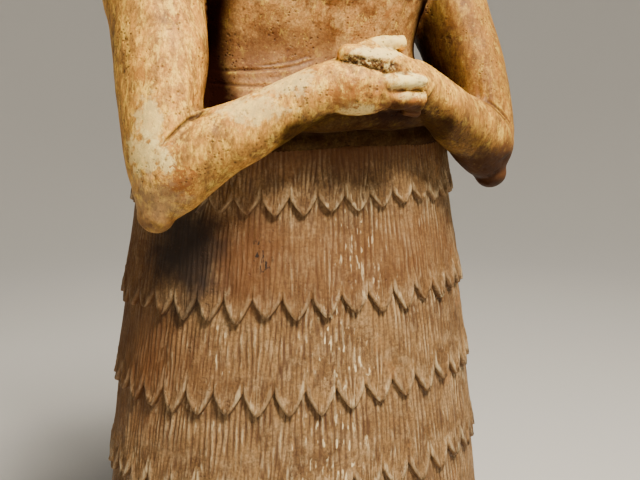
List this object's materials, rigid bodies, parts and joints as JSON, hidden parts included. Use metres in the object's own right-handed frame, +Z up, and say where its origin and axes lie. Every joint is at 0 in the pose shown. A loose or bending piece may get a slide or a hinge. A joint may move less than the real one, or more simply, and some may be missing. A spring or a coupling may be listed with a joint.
{
  "type": "votive statue",
  "caption": "Standing stone worshipper with clasped hands and a long skirt of tiered wool tufts, carved in one with a low rectangular base.",
  "frame": {"origin": "middle of the base's underside, where the statue rests on the floor", "axes": "+Z up along the figure; the figure faces -Y; its right hand is on the -X side"},
  "size_m": [0.5192, 0.4876, 1.15],
  "materials": {
    "stone": "warm ochre brown gypsum, worn and pitted, with pale rubbed ridges and dark staining"
  },
  "bodies": {
    "root": {"statue": "stone"}
  },
  "joints": []
}
